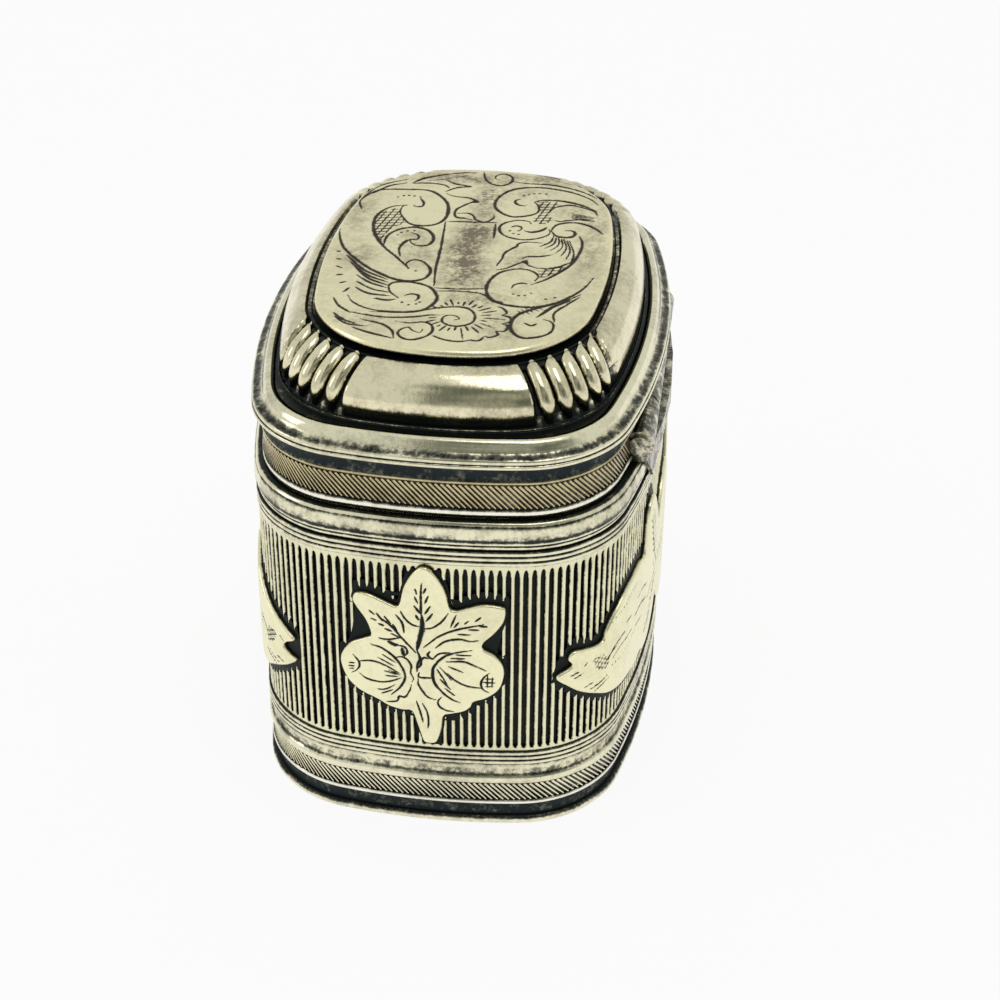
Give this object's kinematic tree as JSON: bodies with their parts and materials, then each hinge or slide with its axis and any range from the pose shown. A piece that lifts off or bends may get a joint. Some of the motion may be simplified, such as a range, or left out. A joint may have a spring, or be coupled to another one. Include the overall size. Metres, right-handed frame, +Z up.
{
  "type": "keepsake box",
  "caption": "Small bow-sided silver box with round corners, ribbed walls, applied sprigs and a domed, gadrooned lid on a tube hinge.",
  "frame": {"origin": "under the middle of the base, on the surface the box stands on", "axes": "+Z up, +X across the box towards the hinge, +Y along the box; the end with the sprig that faces -Y is the front"},
  "size_m": [0.0274, 0.0374, 0.0329],
  "materials": {
    "engraved_silver": "softly polished old silver plate, engraved, with dark oxide left in the cuts",
    "ribbed_silver": "polished ribs with black oxide between them",
    "worn_silver": "worn, slightly yellowed silver",
    "bright_silver": "bright drawn silver wire",
    "cushion_silver": "stamped silver with an olive-grey tarnish and black grooves",
    "gilt_band": "milled band with worn brownish gilding",
    "oxidised_silver": "blue-black oxidised silver",
    "plain_silver": "plain satin silver sheet",
    "hinge_silver": "drawn silver tube, lightly tarnished"
  },
  "bodies": {
    "case": {"base_plate": "oxidised_silver", "inner_case": "plain_silver", "foot_band": "oxidised_silver", "foot_wire": "bright_silver", "foot_milled_band": "worn_silver", "foot_moulding": "worn_silver", "lower_reeds": "worn_silver", "ribbed_band": "ribbed_silver", "upper_reeds": "worn_silver", "mouth_moulding": "worn_silver", "inner_collar": "plain_silver", "front_sprig": "engraved_silver", "back_sprig": "engraved_silver", "left_branch": "engraved_silver", "right_branch": "engraved_silver", "case_hinge_leaf": "hinge_silver", "case_knuckles": "hinge_silver", "hinge_pin": "hinge_silver"},
    "lid": {"lid_band": "plain_silver", "lid_lower_wire": "bright_silver", "lid_milled_band": "gilt_band", "lid_fillet": "bright_silver", "lid_cove": "oxidised_silver", "lid_rim": "worn_silver", "lid_cushion": "cushion_silver", "lid_top_plate": "engraved_silver", "lid_hinge_leaf": "hinge_silver", "lid_knuckle": "hinge_silver"}
  },
  "joints": [
    {"name": "lid_hinge", "type": "hinge", "parent": "case", "child": "lid", "pos_m": [0.0123, 0, 0.0252], "axis": [0, 1, 0], "range_deg": [0, 105]}
  ]
}
